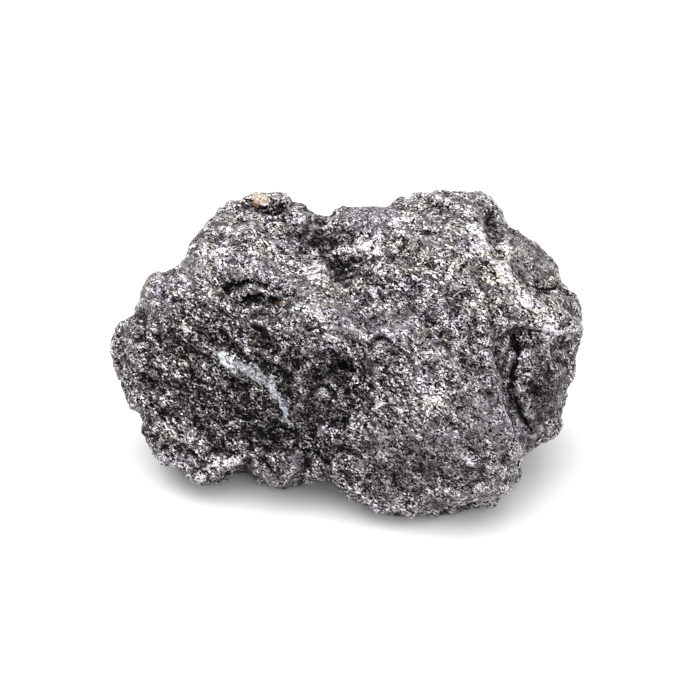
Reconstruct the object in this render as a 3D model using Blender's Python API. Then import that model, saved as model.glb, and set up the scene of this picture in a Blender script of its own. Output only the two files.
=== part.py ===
"""A rough hand specimen of flake graphite: one natural stone, lying on its broken base.

The stone is laid out square to its broad show face, where x runs across the face, y up it and
z out of it towards the viewer. It is then tipped back onto its base. Layout sizes are millimetres.
"""

import math

import bmesh
import bpy
import numpy as np
from mathutils import Matrix, Vector, noise

MM = 0.001

# How the stone lies: its show face leans back, and its flat base is this far below its middle.
TIP_BACK_DEG = 35.0
MIDDLE_ABOVE_BASE = 15.0

# How far the blank swells out of the face's plane, how square its section is, and how its rim
# runs back as it rises.
FRONT_SWELL = 14.0
BACK_SWELL = 19.0
SECTION_POWER = 2.4
RIM_LEAN = 0.25

# The outline of the show face, clockwise from the left tip.
LEFT_KNOB = [(-30.0, 0.5), (-29.5, 3.2), (-28.2, 4.5), (-26.8, 4.4)]
LEFT_SHOULDER = [(-26.6, 6.2), (-25.5, 9.2), (-23.8, 10.5), (-21.0, 10.6), (-19.7, 13.3)]
LEFT_CREST = [(-18.5, 14.7), (-18.0, 16.8), (-15.0, 19.4), (-12.4, 20.7), (-9.5, 20.7), (-7.0, 20.0)]
SADDLE = [(-5.0, 18.4), (-2.7, 17.6), (-1.0, 18.4), (2.8, 18.5), (6.2, 18.8)]
RIGHT_CREST = [(7.8, 19.9), (13.4, 20.6), (17.6, 20.3), (19.3, 19.0), (19.7, 17.3), (20.9, 15.6)]
RIGHT_SHOULDER = [(24.0, 14.1), (26.7, 11.6), (27.7, 9.1), (29.4, 6.5), (30.1, 4.4)]
RIGHT_LOBE = [(29.7, 1.9), (29.4, -1.9), (28.0, -4.9), (27.1, -7.9), (26.7, -10.2)]
HEEL = [(24.4, -11.5), (22.5, -12.5), (22.4, -14.2), (20.5, -16.8), (19.0, -19.1)]
BELLY_FOOT = [(16.0, -19.6), (12.5, -20.5), (7.4, -20.8), (4.0, -20.2), (1.9, -18.5)]
LEFT_UNDERSIDE = [(-0.6, -17.4), (-1.8, -16.2), (-4.9, -16.1), (-6.4, -15.8), (-8.2, -17.1)]
LEFT_FOOT = [(-10.8, -16.3), (-12.5, -15.0), (-14.2, -15.3), (-17.1, -16.5), (-20.5, -15.1)]
LEFT_FLANK = [(-23.3, -13.8), (-25.4, -11.0), (-25.7, -8.7), (-27.5, -6.2), (-28.9, -3.5)]
OUTLINE = (
    LEFT_KNOB + LEFT_SHOULDER + LEFT_CREST + SADDLE + RIGHT_CREST + RIGHT_SHOULDER
    + RIGHT_LOBE + HEEL + BELLY_FOOT + LEFT_UNDERSIDE + LEFT_FOOT + LEFT_FLANK
)

# Faces that the stone broke along: (outward direction, distance from the middle).
BREAKS = {
    "upper_slope": ((-0.15, 0.60, 0.78), 12.0),
    "left_face": ((-0.22, -0.26, 0.94), 11.2),
    "left_end": ((-0.80, 0.12, 0.58), 24.2),
    "under_belly": ((0.10, -0.80, 0.59), 20.6),
    "right_end": ((0.80, 0.22, 0.56), 26.4),
    "back_left": ((-0.55, 0.42, -0.72), 18.6),
    "back_right": ((0.52, 0.44, -0.73), 19.6),
    "back_middle": ((-0.06, 0.72, -0.69), 18.4),
    "right_back": ((0.84, -0.20, -0.50), 25.4),
    "left_back": ((-0.84, -0.22, -0.50), 25.2),
}
BREAK_ROUNDNESS = 1.6

# Rises and hollows on the front of the stone: (middle, half sizes, height).
RISES = {
    "belly": ((12.5, -9.0), (10.5, 9.0), 2.8),
    "left_hump": ((-12.5, 12.5), (6.5, 5.5), 1.6),
    "left_brow": ((-18.0, 7.5), (8.0, 3.5), 1.2),
    "right_hump": ((13.5, 13.5), (8.0, 5.5), 1.6),
    "right_ridge": ((24.0, 6.0), (5.0, 3.6), 1.8),
    "left_knob": ((-26.0, -0.5), (3.6, 5.0), 1.0),
    "left_foot": ((-18.0, -11.0), (5.5, 3.6), 1.8),
    "middle_foot": ((-8.5, -14.0), (3.4, 2.6), 1.2),
    "saddle_hollow": ((-2.5, 14.5), (4.2, 2.8), -1.8),
    "upper_pocket": ((0.6, 10.4), (2.6, 2.6), -2.0),
    "left_hollow": ((-8.0, -9.6), (5.0, 2.6), -2.0),
    "flank_hollow": ((-23.2, -4.4), (3.6, 2.6), -1.6),
    "middle_hollow": ((-1.0, -3.0), (5.5, 3.4), -1.8),
}

# Crevices on the front: (path, depth, width of the bank left of the path, width right of it).
CREVICES = {
    "right_split": ([(29.5, 0.4), (25.4, 2.4), (21.2, 2.2), (21.0, -5.8), (22.6, -9.0), (24.6, -11.2)], 3.1, 4.6, 1.7),
    "brow_scarp": ([(-26.8, 4.6), (-21.0, 6.0), (-13.5, 7.0), (-8.5, 4.6), (-2.0, 1.0), (3.2, -4.0)], 1.8, 1.3, 4.5),
    "upper_ledge": ([(-15.5, 9.6), (-11.5, 8.2), (-8.0, 7.6)], 1.3, 1.1, 1.8),
    "crest_crack": ([(17.0, 20.0), (18.4, 17.0), (18.0, 13.5)], 1.4, 1.6, 1.2),
    "shoulder_crack": ([(20.5, 10.4), (24.0, 9.2), (27.0, 8.6)], 1.2, 1.2, 1.2),
    "foot_crack": ([(-3.5, -12.0), (-4.6, -14.5), (-5.6, -17.0)], 1.5, 1.8, 1.8),
}
CREVICE_FADE = 2.0

# Rises and crevices die out over this height as the front nears the rim.
FRONT_FADE = 4.0

# Broken facets and lumps: (size, how steeply the facets tilt) and (size, height). They are lower
# on the rim, where they leave the outline as it is.
FACETS = [(8.0, 0.34), (4.4, 0.26)]
FACET_EDGE = 9.0
LUMPS = [(2.6, 0.22)]
RIM_SHARE = 0.25

# Quads along each side of the cube that the stone's mesh starts from, the stone's rough half
# sizes that spread them evenly, and the sharpest fold that is still shaded round.
QUADS_PER_SIDE = 29
HALF_SIZES = (30.0, 20.0, 15.0)
SMOOTH_UNDER_DEG = 55.0
TINY = 1e-9


def unit(vectors):
    return vectors / np.linalg.norm(vectors, axis=-1, keepdims=True)


def cube_sphere_mesh(quads):
    """A ball of six square grids, with the squares as even as a ball allows."""
    bm = bmesh.new()
    bmesh.ops.create_cube(bm, size=2.0)
    bmesh.ops.subdivide_edges(bm, edges=bm.edges[:], cuts=quads - 1, use_grid_fill=True)
    for vertex in bm.verts:
        evened = Vector([math.tan(side * math.pi / 4) for side in vertex.co])
        vertex.co = evened.normalized()
    bmesh.ops.recalc_face_normals(bm, faces=bm.faces[:])
    mesh = bpy.data.meshes.new("graphite_stone")
    bm.to_mesh(mesh)
    bm.free()
    return mesh


class Outline:
    """The distance from the middle out to the show face's edge, at any angle round it."""

    SAMPLES = 720
    SOFTENED_OVER = 60

    def __init__(self, corners):
        corners = np.array(corners)
        angles = np.arctan2(corners[:, 1], corners[:, 0])
        corners = corners[np.argsort(angles)]
        self.angles = np.sort(angles)
        self.starts = np.roll(corners, 1, axis=0)
        self.ends = corners
        turn = np.linspace(-math.pi, math.pi, self.SAMPLES, endpoint=False)
        sharp = self.at(turn)
        reach = self.SOFTENED_OVER // 2
        padded = np.concatenate([sharp[-reach:], sharp, sharp[:reach]])
        weights = np.hanning(2 * reach + 1)
        self.turn = turn
        self.soft = np.convolve(padded, weights / weights.sum(), "valid")

    def at(self, angle):
        """Where a ray at this angle crosses the edge between the two corners beside it."""
        index = np.searchsorted(self.angles, angle) % len(self.angles)
        start, side = self.starts[index], self.ends[index] - self.starts[index]
        ray = np.stack([np.cos(angle), np.sin(angle)], axis=-1)
        return (start[..., 0] * side[..., 1] - start[..., 1] * side[..., 0]) / (
            ray[..., 0] * side[..., 1] - ray[..., 1] * side[..., 0]
        )

    def softened(self, angle):
        return np.interp(angle, self.turn, self.soft, period=2 * math.pi)


def smooth_least(a, b, roundness):
    """The smaller of two distances, rounded where they meet."""
    share = np.clip(0.5 + 0.5 * (b - a) / roundness, 0, 1)
    return b + (a - b) * share - roundness * share * (1 - share)


def out_of_rim(points):
    """How far points stand in front of the leaning rim, or behind it as a negative height."""
    return points[:, 2] + RIM_LEAN * points[:, 1]


def slope_off_rim(points):
    """How steeply points rise off the rim, seen from the middle: 0 on the rim and 1 past 45 degrees."""
    across = np.hypot(points[:, 0], points[:, 1])
    return np.clip(np.abs(out_of_rim(points)) / (across + TINY), 0, 1)


def blank_reach(rays, outline):
    """How far a cushion with the face's outline reaches from its middle along each ray."""
    angle = np.arctan2(rays[:, 1], rays[:, 0])
    across = np.hypot(rays[:, 0], rays[:, 1])
    out = out_of_rim(rays)
    lift = slope_off_rim(rays)
    edge = outline.at(angle) * (1 - lift) + outline.softened(angle) * lift
    swell = np.where(out > 0, FRONT_SWELL, BACK_SWELL)
    section = (across / edge) ** SECTION_POWER + (np.abs(out) / swell) ** SECTION_POWER
    return section ** (-1 / SECTION_POWER)


def break_faces(rays, reach):
    for direction, distance in BREAKS.values():
        towards = np.maximum(rays @ unit(np.array(direction)), 1e-3)
        reach = smooth_least(reach, distance / towards, BREAK_ROUNDNESS)
    return reach


def rises(points):
    total = np.zeros(len(points))
    for middle, half_sizes, height in RISES.values():
        offset = (points[:, :2] - np.array(middle)) / np.array(half_sizes)
        total += height * np.exp(-(offset ** 2).sum(axis=1))
    return total


def crevice_depth(points, path, depth, left_width, right_width):
    """How deep a crevice is at each point, fading out over its last stretch at both ends."""
    nearest = np.full(len(points), 1e9)
    deep = np.zeros(len(points))
    for start, end in zip(np.array(path[:-1]), np.array(path[1:])):
        side = end - start
        offset = points[:, :2] - start
        along = np.clip(offset @ side / (side @ side), 0, 1)
        away = offset - along[:, None] * side
        gap = np.hypot(away[:, 0], away[:, 1])
        is_left = side[0] * offset[:, 1] - side[1] * offset[:, 0] > 0
        width = np.where(is_left, left_width, right_width)
        closer = gap < nearest
        nearest = np.where(closer, gap, nearest)
        deep = np.where(closer, depth * np.exp(-((gap / width) ** 2)), deep)
    ends = np.array([path[0], path[-1]])
    from_ends = np.linalg.norm(points[:, None, :2] - ends, axis=2).min(axis=1)
    return deep * np.clip(0.35 + from_ends / CREVICE_FADE, 0, 1)


def facets(points, size, tilt):
    """Flat broken facets: each cell of the stone tilts its own way, with worn edges between cells."""
    total = np.zeros(len(points))
    for index, point in enumerate(points):
        spot = Vector(point) / size
        gaps, middles = noise.voronoi(spot)
        shares = [math.exp(FACET_EDGE * (gaps[0] - gap)) for gap in gaps]
        tilts = [noise.cell_vector(middle * 97.0) - Vector((0.5, 0.5, 0.5)) for middle in middles]
        heights = [lean.dot(spot - middle) for lean, middle in zip(tilts, middles)]
        total[index] = sum(share * height for share, height in zip(shares, heights)) / sum(shares)
    return total * size * tilt * 2


def lumps(points, size, height):
    return np.array([height * noise.noise(Vector(point) / size) for point in points])


def build_stone():
    mesh = cube_sphere_mesh(QUADS_PER_SIDE)
    ball = np.array([vertex.co[:] for vertex in mesh.vertices])
    rays = unit(ball * HALF_SIZES)
    reach = break_faces(rays, blank_reach(rays, Outline(OUTLINE)))
    points = rays * reach[:, None]
    faces_front = np.clip(out_of_rim(points) / FRONT_FADE, 0, 1)
    reach = reach + faces_front * rises(points)
    for crevice in CREVICES.values():
        reach = reach - faces_front * crevice_depth(points, *crevice)
    roughness = RIM_SHARE + (1 - RIM_SHARE) * slope_off_rim(points)
    for size, tilt in FACETS:
        reach = reach + roughness * facets(points, size, tilt)
    for size, height in LUMPS:
        reach = reach + roughness * lumps(points, size, height)
    tip = Matrix.Rotation(math.radians(90 - TIP_BACK_DEG), 3, "X")
    down_on_face = np.array(tip.inverted() @ Vector((0, 0, -1)))
    base_reach = MIDDLE_ABOVE_BASE / np.maximum(rays @ down_on_face, TINY)
    standing = (rays * np.minimum(reach, base_reach)[:, None]) @ np.array(tip).T
    standing[:, 2] = np.where(base_reach < reach, 0, standing[:, 2] + MIDDLE_ABOVE_BASE)
    standing[:, :2] -= (standing[:, :2].min(axis=0) + standing[:, :2].max(axis=0)) / 2
    mesh.vertices.foreach_set("co", (standing * MM).ravel())
    mesh.update()
    mesh.shade_smooth()
    mesh.set_sharp_from_angle(angle=math.radians(SMOOTH_UNDER_DEG))
    return bpy.data.objects.new("graphite_stone", mesh)


def graphite_material():
    material = bpy.data.materials.new("flake_graphite")
    material.use_nodes = True
    surface = material.node_tree.nodes["Principled BSDF"]
    surface.inputs["Base Color"].default_value = (0.12, 0.12, 0.125, 1)
    surface.inputs["Metallic"].default_value = 0.6
    surface.inputs["Roughness"].default_value = 0.45
    return material


def main():
    for thing in list(bpy.data.objects):
        bpy.data.objects.remove(thing, do_unlink=True)
    specimen = build_stone()
    specimen.data.materials.append(graphite_material())
    bpy.context.scene.collection.objects.link(specimen)


main()
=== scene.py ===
"""The looks of the graphite specimen: its hackly surface, its flakes and minerals, and a plain studio.

Places on the stone are given in millimetres in the layout of its show face: x across the face, y up it
and z out of it, from the stone's middle. The face leans back from upright by TIP_BACK.
"""

import math
from types import SimpleNamespace

import bmesh
import bpy
import numpy as np
from mathutils import Matrix, Vector, noise


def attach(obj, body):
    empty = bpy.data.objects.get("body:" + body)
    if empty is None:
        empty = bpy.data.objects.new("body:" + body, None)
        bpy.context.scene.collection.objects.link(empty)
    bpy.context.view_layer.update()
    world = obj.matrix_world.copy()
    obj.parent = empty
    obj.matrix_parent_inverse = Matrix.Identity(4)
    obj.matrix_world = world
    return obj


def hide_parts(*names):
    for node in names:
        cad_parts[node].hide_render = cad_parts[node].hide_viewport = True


MM = 0.001
TINY = 1e-9
HUGE = 1e9

# How the show face's layout sits in the frame: its middle, in metres, and its lean from upright.
MIDDLE = Vector((-0.14, -0.32, 15.0)) * MM
TIP_BACK = math.radians(35.0)
RIM_LEAN = 0.25

# The fine mesh: its edge length, how long the CAD facets are smoothed for, and the height over which
# the relief comes in above the flat base.
EDGE = 0.30 * MM
SMOOTHING_PASSES = 8
BASE_FADE = 1.2

# Points closer than this, in metres, are one point.
WELD = 1e-6

# How far out of the rim the front's features come in, and how far behind it the back's do.
FRONT_EDGE = (0.0, 2.5)
BACK_EDGE = (1.5, 5.0)

# The stone's grain: its direction on the face, and how much finer its cells are along it and across it.
GRAIN_TURN = math.radians(-34.0)
GRAIN_SQUEEZE = np.array([0.78, 1.18, 1.0])

# Broken facets: (size, how steeply they tilt), and how sharp the edges between them are.
FACETS = [(3.8, 0.26), (1.9, 0.24), (0.95, 0.22)]
FACET_EDGE = 12.0

# Knobs: (size, height). Those of the rim die out over a band on both of its sides.
KNOBS = [(2.2, 0.10), (1.1, 0.06)]
RIM_KNOBS = [(2.4, 0.50), (1.2, 0.30)]
RIM_BAND = 2.2
KNOB_FALL = 1.6

# Pits: a cell whose random number is above PIT_CHANCE has one, and a higher number makes it wider.
# BACK_PITS is the share of their depth that they keep on the back.
PIT_SIZE = 1.7
PIT_DEPTH = 0.4
PIT_CHANCE = 0.72
PIT_REACH = 0.20
PIT_GROWTH = 0.40
BACK_PITS = 0.4

# How much of the relief is worn away where the stone is smooth, and how soft the edge of that is.
CALM_SHARE = 0.50
CALM_EDGE = (-0.3, 0.4)

# The drift that bends the relief's lines: its two sizes, and the tight one's share.
WIDE_DRIFT = 2.4
TIGHT_DRIFT = 0.9
TIGHT_SHARE = 0.4

# How far the drift moves each kind of relief.
FACET_BEND = 0.7
CALM_BEND = 1.0
CREVICE_BEND = 0.3
SPLIT_BEND = 0.8
RISE_BEND = 1.8

# Shifts that give each use of a pattern its own random cells, and a factor that gives each cell its
# own random numbers.
WIDE_SHIFTS = (0.0, 40.0, 80.0)
TIGHT_SHIFTS = (20.0, 60.0, 90.0)
MINERAL_SHIFTS = (10.0, 50.0)
RIM_SHIFT = 20.0
BACK_SHIFT = 9.0
PIT_SHIFT = Vector((31.0, 7.0, 5.0))
CELL_SEED = 97.0

# The open split beside the right lobe, from its top to its foot.
RIGHT_SPLIT = [
    (21.1, 2.8),
    (21.6, 1.1),
    (21.6, -0.8),
    (21.1, -2.3),
    (21.0, -4.8),
    (21.5, -6.5),
    (23.4, -9.7),
]

# Crevices: (path, depth, width of the bank left of the path, width right of it). At both ends a
# crevice keeps a share of its depth, which grows to all of it over CREVICE_FADE.
CREVICES = [
    (RIGHT_SPLIT, 0.7, 0.50, 0.50),
    ([(28.8, 1.0), (25.6, 2.6), (22.4, 2.9)], 0.7, 1.2, 0.5),
    ([(-15.8, 8.0), (-14.4, 8.7), (-12.2, 9.4), (-9.2, 8.6)], 0.9, 0.5, 0.9),
    ([(-13.6, 6.5), (-12.3, 7.1), (-10.4, 7.3), (-8.2, 6.6)], 0.9, 0.5, 0.8),
    ([(-12.2, 19.0), (-10.4, 18.7), (-9.0, 18.7), (-7.6, 19.3)], 0.9, 0.4, 0.8),
    ([(-11.4, 4.4), (-10.6, 2.6), (-9.4, 0.8)], 0.7, 0.6, 0.8),
    ([(17.2, 17.6), (18.2, 16.2), (18.8, 14.8)], 0.4, 0.6, 0.6),
    ([(22.6, 8.8), (24.2, 8.2), (26.6, 8.4)], 0.9, 0.5, 0.7),
    ([(9.0, -17.2), (13.0, -16.4), (17.6, -16.8)], 0.35, 0.6, 0.5),
    ([(-4.6, -12.8), (-5.2, -14.8), (-6.2, -16.6)], 0.8, 0.7, 0.7),
    ([(-12.2, -12.6), (-12.8, -14.2), (-12.6, -15.6)], 0.9, 0.6, 0.6),
    ([(0.4, 1.6), (2.4, 1.0), (4.4, 1.9), (6.4, 1.2)], 0.6, 0.5, 0.6),
    ([(-0.6, 11.8), (2.0, 12.7), (4.4, 14.2)], 0.5, 0.4, 0.5),
]
CREVICE_FADE = 1.0
CREVICE_END_SHARE = 0.2

# Steps where the back has split along the grain, written like the crevices.
BACK_SPLITS = [
    ([(-21.0, 7.5), (-13.0, 4.5), (-6.0, -1.5), (4.0, -5.0), (9.0, -9.5)], 1.1, 0.7, 2.6),
    ([(2.0, 14.5), (8.5, 9.5), (15.0, 7.5), (22.0, 1.0)], 0.9, 0.6, 2.0),
    ([(-16.0, -9.0), (-7.0, -11.0), (1.0, -14.0)], 0.8, 1.8, 0.6),
    ([(12.0, -2.0), (17.0, -6.0), (24.0, -7.5)], 0.8, 0.6, 1.6),
    ([(-14.0, 14.0), (-8.0, 11.0), (-3.0, 11.5)], 0.7, 1.4, 0.6),
]

# The back's own large facets, written like FACETS.
BACK_FACETS = (7.5, 0.20)

# Where lumps have fallen out of the face, or stand on it: (middle, half sizes, height).
RISES = [
    ((-0.4, 10.7), (1.8, 1.4), -0.6),
    ((-3.6, 14.8), (3.2, 1.3), -0.8),
    ((-8.4, -10.2), (2.8, 1.1), -0.6),
    ((-23.0, -3.6), (2.2, 1.1), -0.5),
    ((1.6, -2.8), (4.6, 3.0), 1.1),
]

# The same on the rim, where they shape the outline, and the band over which they die out.
RIM_RISES = [
    ((18.4, 19.0), (2.3, 2.3), 1.6),
    ((-24.5, 10.0), (1.6, 1.6), 0.6),
    ((-15.4, 18.8), (2.0, 2.0), 0.5),
    ((-20.0, 13.2), (1.8, 2.4), -0.7),
    ((-28.6, -5.2), (2.2, 2.4), -0.3),
    ((-25.6, -12.0), (1.8, 2.6), -0.9),
    ((-12.8, -15.6), (1.8, 1.6), -1.5),
    ((-2.4, -17.2), (3.0, 1.6), -0.9),
    ((8.0, -20.4), (7.0, 2.0), -0.35),
    ((22.6, -15.0), (2.0, 2.8), -1.1),
    ((28.2, -7.6), (1.4, 2.2), -0.7),
    ((29.4, -2.4), (1.2, 1.2), 0.3),
    ((29.6, 1.2), (1.2, 1.2), 0.3),
    ((29.8, 6.4), (1.6, 1.8), -0.8),
    ((22.4, 14.2), (2.6, 1.4), -0.4),
    ((11.0, 20.4), (4.5, 1.2), -0.3),
    ((6.0, 19.0), (1.6, 1.2), -0.5),
    ((1.0, 18.4), (3.0, 1.4), -0.3),
]
RISE_BAND = 5.0

# Where the stone is worn smooth and its flakes lie flat: (middle, half sizes, turn).
SMOOTH_SPOTS = [
    ((-12.0, 10.8), (3.4, 2.2), -15.0),
    ((-24.0, 7.6), (1.8, 2.8), 20.0),
    ((-16.6, 15.2), (3.4, 2.0), 40.0),
    ((4.2, 17.2), (3.4, 2.2), 0.0),
    ((17.6, -7.6), (5.2, 6.0), 0.0),
    ((22.8, -10.0), (3.4, 1.8), -45.0),
    ((24.2, 11.4), (4.4, 3.4), -35.0),
    ((-7.6, -14.2), (2.6, 2.2), 0.0),
    ((10.0, -12.6), (9.0, 6.4), 0.0),
    ((7.0, 3.4), (5.6, 2.8), -10.0),
    ((26.0, -5.6), (2.8, 5.6), 8.0),
    ((9.4, -1.6), (3.6, 2.6), 0.0),
    ((-4.4, -5.4), (3.4, 3.6), 0.0),
    ((-1.6, 5.4), (5.4, 2.4), -25.0),
    ((-5.8, 9.0), (2.2, 1.8), 0.0),
    ((-3.6, 15.2), (3.4, 1.6), -10.0),
    ((-18.8, 10.4), (2.8, 1.6), -10.0),
    ((9.6, 14.0), (2.4, 2.4), 0.0),
]


def to_face(points):
    """World points in metres as points of the face's layout in millimetres."""
    offset = (points - np.array(MIDDLE)) / MM
    up, out = face_axes()
    return np.stack([offset[:, 0], offset @ up, offset @ out], axis=1)


def face_axes():
    """The directions up the show face and out of it."""
    up = np.array([0, math.sin(TIP_BACK), math.cos(TIP_BACK)])
    out = np.array([0, -math.cos(TIP_BACK), math.sin(TIP_BACK)])
    return up, out


def out_of_rim(points):
    """How far each point is in front of the rim."""
    return points[:, 2] + RIM_LEAN * points[:, 1]


def turned(points, angle):
    """How far layout points are along a direction at this angle from level, and across it."""
    cos, sin = math.cos(angle), math.sin(angle)
    return points[:, 0] * cos + points[:, 1] * sin, points[:, 1] * cos - points[:, 0] * sin


def along_grain(points):
    """Layout points turned to the grain and squeezed, so that even cells come out as long lenses."""
    along, across = turned(points, GRAIN_TURN)
    return np.stack([along, across, points[:, 2]], axis=1) * GRAIN_SQUEEZE


def to_stretch(points, start, end):
    """Each point's gap to a straight stretch of a path, and how far along it, from 0 to 1."""
    side = end - start
    offset = points[:, :2] - start
    along = np.clip(offset @ side / (side @ side), 0, 1)
    away = offset - along[:, None] * side
    return np.hypot(away[:, 0], away[:, 1]), along


def smooth_step(low, high, value):
    """A smooth step from 0 at low to 1 at high."""
    share = np.clip((value - low) / (high - low), 0, 1)
    return share * share * (3 - 2 * share)


# ---------------------------------------------------------------- the mesh


def fine_copy(node):
    """A closed, even, finely meshed copy of a CAD node."""
    bm = bmesh.new()
    bm.from_mesh(node.data)
    bmesh.ops.remove_doubles(bm, verts=bm.verts[:], dist=WELD)
    mesh = bpy.data.meshes.new("graphite_surface")
    bm.to_mesh(mesh)
    bm.free()
    rough = bpy.data.objects.new("graphite_surface", mesh)
    bpy.context.scene.collection.objects.link(rough)
    remesh = rough.modifiers.new("even_mesh", "REMESH")
    remesh.mode = "VOXEL"
    remesh.voxel_size = EDGE
    evaluated = rough.evaluated_get(bpy.context.evaluated_depsgraph_get())
    even = bpy.data.meshes.new_from_object(evaluated)
    rough.modifiers.clear()
    rough.data = even
    bpy.data.meshes.remove(mesh)
    return rough


def vertex_places(mesh):
    places = np.empty(len(mesh.vertices) * 3, np.float32)
    mesh.vertices.foreach_get("co", places)
    return places.reshape(-1, 3).astype(float)


def vertex_normals(mesh):
    normals = np.empty(len(mesh.vertices) * 3, np.float32)
    mesh.vertex_normals.foreach_get("vector", normals)
    return normals.reshape(-1, 3).astype(float)


def set_places(mesh, places):
    mesh.vertices.foreach_set("co", places.astype(np.float32).ravel())
    mesh.update()


class Neighbours:
    """Averages a value over each vertex's neighbours."""

    def __init__(self, mesh):
        ends = np.empty(len(mesh.edges) * 2, np.int32)
        mesh.edges.foreach_get("vertices", ends)
        ends = ends.reshape(-1, 2)
        self.to = np.concatenate([ends[:, 0], ends[:, 1]])
        self.by = np.concatenate([ends[:, 1], ends[:, 0]])
        self.count = np.bincount(self.to, minlength=len(mesh.vertices))

    def mean(self, values):
        columns = values.reshape(len(self.count), -1).T
        sums = [np.bincount(self.to, column[self.by], len(self.count)) for column in columns]
        return (np.stack(sums, axis=1) / self.count[:, None]).reshape(values.shape)

    def smoothed(self, values, passes):
        for _ in range(passes):
            values = (values + self.mean(values)) / 2
        return values


# ---------------------------------------------------------------- the relief


def lumps(points, size):
    """Soft lumps between about -1 and 1."""
    return np.array([noise.noise(Vector(point) / size) for point in points])


def facets(points, size, tilt):
    """Flat broken facets: each cell tilts its own way, and the edges between cells are worn."""
    total = np.zeros(len(points))
    half = Vector((0.5, 0.5, 0.5))
    for index, point in enumerate(points):
        spot = Vector(point) / size
        gaps, middles = noise.voronoi(spot)
        share_sum = 0.0
        height = 0.0
        for gap, middle in zip(gaps[:3], middles[:3]):
            share = math.exp(FACET_EDGE * (gaps[0] - gap))
            height += share * (noise.cell_vector(middle * CELL_SEED) - half).dot(spot - middle)
            share_sum += share
        total[index] = height / share_sum

    # The random slopes run from -1/2 to 1/2, so they are doubled.
    return total * size * tilt * 2


def knobs(points, size, height):
    """Rounded knobs that stand half of the height proud, with creases between them."""
    near = np.array([noise.voronoi(Vector(point) / size)[0][0] for point in points])
    return height * (0.5 - np.clip(near, 0, 1) ** 2 * KNOB_FALL)


def pits(points):
    """Small sharp holes where grains have dropped out, in some of the stone's cells."""
    depth = np.zeros(len(points))
    for index, point in enumerate(points):
        spot = Vector(point) / PIT_SIZE + PIT_SHIFT
        gaps, middles = noise.voronoi(spot)
        chance = noise.cell(middles[0] * CELL_SEED)
        if chance > PIT_CHANCE:
            reach = PIT_REACH + PIT_GROWTH * (chance - PIT_CHANCE)
            depth[index] = max(0.0, 1 - (gaps[0] / reach) ** 2)
    return depth * PIT_DEPTH


def crevice_depth(points, path, depth, left_width, right_width):
    """How deep a crevice is at each point, fading out at both ends."""
    nearest = np.full(len(points), HUGE)
    deep = np.zeros(len(points))
    for start, end in zip(np.array(path[:-1]), np.array(path[1:])):
        gap, _ = to_stretch(points, start, end)
        side = end - start
        offset = points[:, :2] - start
        is_left = side[0] * offset[:, 1] - side[1] * offset[:, 0] > 0
        width = np.where(is_left, left_width, right_width)
        closer = gap < nearest
        nearest = np.where(closer, gap, nearest)
        deep = np.where(closer, depth * np.exp(-((gap / width) ** 2)), deep)
    ends = np.array([path[0], path[-1]])
    from_ends = np.linalg.norm(points[:, None, :2] - ends, axis=2).min(axis=1)
    return deep * np.clip(CREVICE_END_SHARE + from_ends / CREVICE_FADE, 0, 1)


def rise(points, middle, half_sizes, height):
    """A soft lump, or a hollow where the height is below 0."""
    offset = (points[:, :2] - np.array(middle)) / np.array(half_sizes)
    return height * np.exp(-(offset ** 2).sum(axis=1))


def drift(points):
    """A gentle drift that keeps the relief's lines from running straight."""
    wide = np.stack([lumps(points + shift, WIDE_DRIFT) for shift in WIDE_SHIFTS], axis=1)
    tight = np.stack([lumps(points + shift, TIGHT_DRIFT) for shift in TIGHT_SHIFTS], axis=1)
    return wide + TIGHT_SHARE * tight


def relief(points):
    """How far the broken surface stands out of the CAD stone, or in as a negative height."""
    bend = drift(points)
    bent = along_grain(points + FACET_BEND * bend)
    height = np.zeros(len(points))
    for size, tilt in FACETS:
        height += facets(bent, size, tilt)
    for size, swing in KNOBS:
        height += knobs(bent, size, swing)
    rim = np.exp(-((out_of_rim(points) / RIM_BAND) ** 2))
    for size, swing in RIM_KNOBS:
        height += rim * knobs(points + RIM_SHIFT, size, swing)
    front = smooth_step(*FRONT_EDGE, out_of_rim(points))
    back = smooth_step(*BACK_EDGE, -out_of_rim(points))
    height -= pits(bent) * (1 - (1 - BACK_PITS) * back)
    height += back * facets(bent + BACK_SHIFT, *BACK_FACETS)
    calm = front * smooth_step(*CALM_EDGE, near_spots(points + CALM_BEND * bend, SMOOTH_SPOTS))
    height *= 1 - CALM_SHARE * calm
    for crevice in CREVICES:
        height -= front * crevice_depth(points + CREVICE_BEND * bend, *crevice)
    for split in BACK_SPLITS:
        height -= back * crevice_depth(points + SPLIT_BEND * bend, *split)
    for face_rise in RISES:
        height += front * rise(points + RISE_BEND * bend, *face_rise)
    near_rim = np.exp(-((out_of_rim(points) / RISE_BAND) ** 2))
    for rim_rise in RIM_RISES:
        height += near_rim * rise(points, *rim_rise)
    return height


# ---------------------------------------------------------------- what grows where, and where shade is painted


def near_path(points, path, half_widths):
    """1 on a path's middle line, 0 on its edge and below 0 outside."""
    best = np.full(len(points), -HUGE)
    corners = np.array(path)
    widths = zip(half_widths[:-1], half_widths[1:])
    for start, end, (first, last) in zip(corners[:-1], corners[1:], widths):
        gap, along = to_stretch(points, start, end)
        best = np.maximum(best, 1 - gap / (first + (last - first) * along))
    return best


def near_crack_shadows(points):
    """1 in the middle of the nearest crack's painted shadow, 0 where that shadow ends and below 0
    outside.
    """
    return np.max([near_path(points, path, [reach] * len(path)) for path, reach in CRACK_SHADOWS], axis=0)


def near_spots(points, spots):
    """1 in a spot's middle, 0 on its edge and below 0 outside, for the nearest spot."""
    best = np.full(len(points), -HUGE)
    for middle, half_sizes, turn in spots:
        along, across = turned(points[:, :2] - np.array(middle), math.radians(turn))
        best = np.maximum(best, 1 - np.hypot(along / half_sizes[0], across / half_sizes[1]))
    return best


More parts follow.
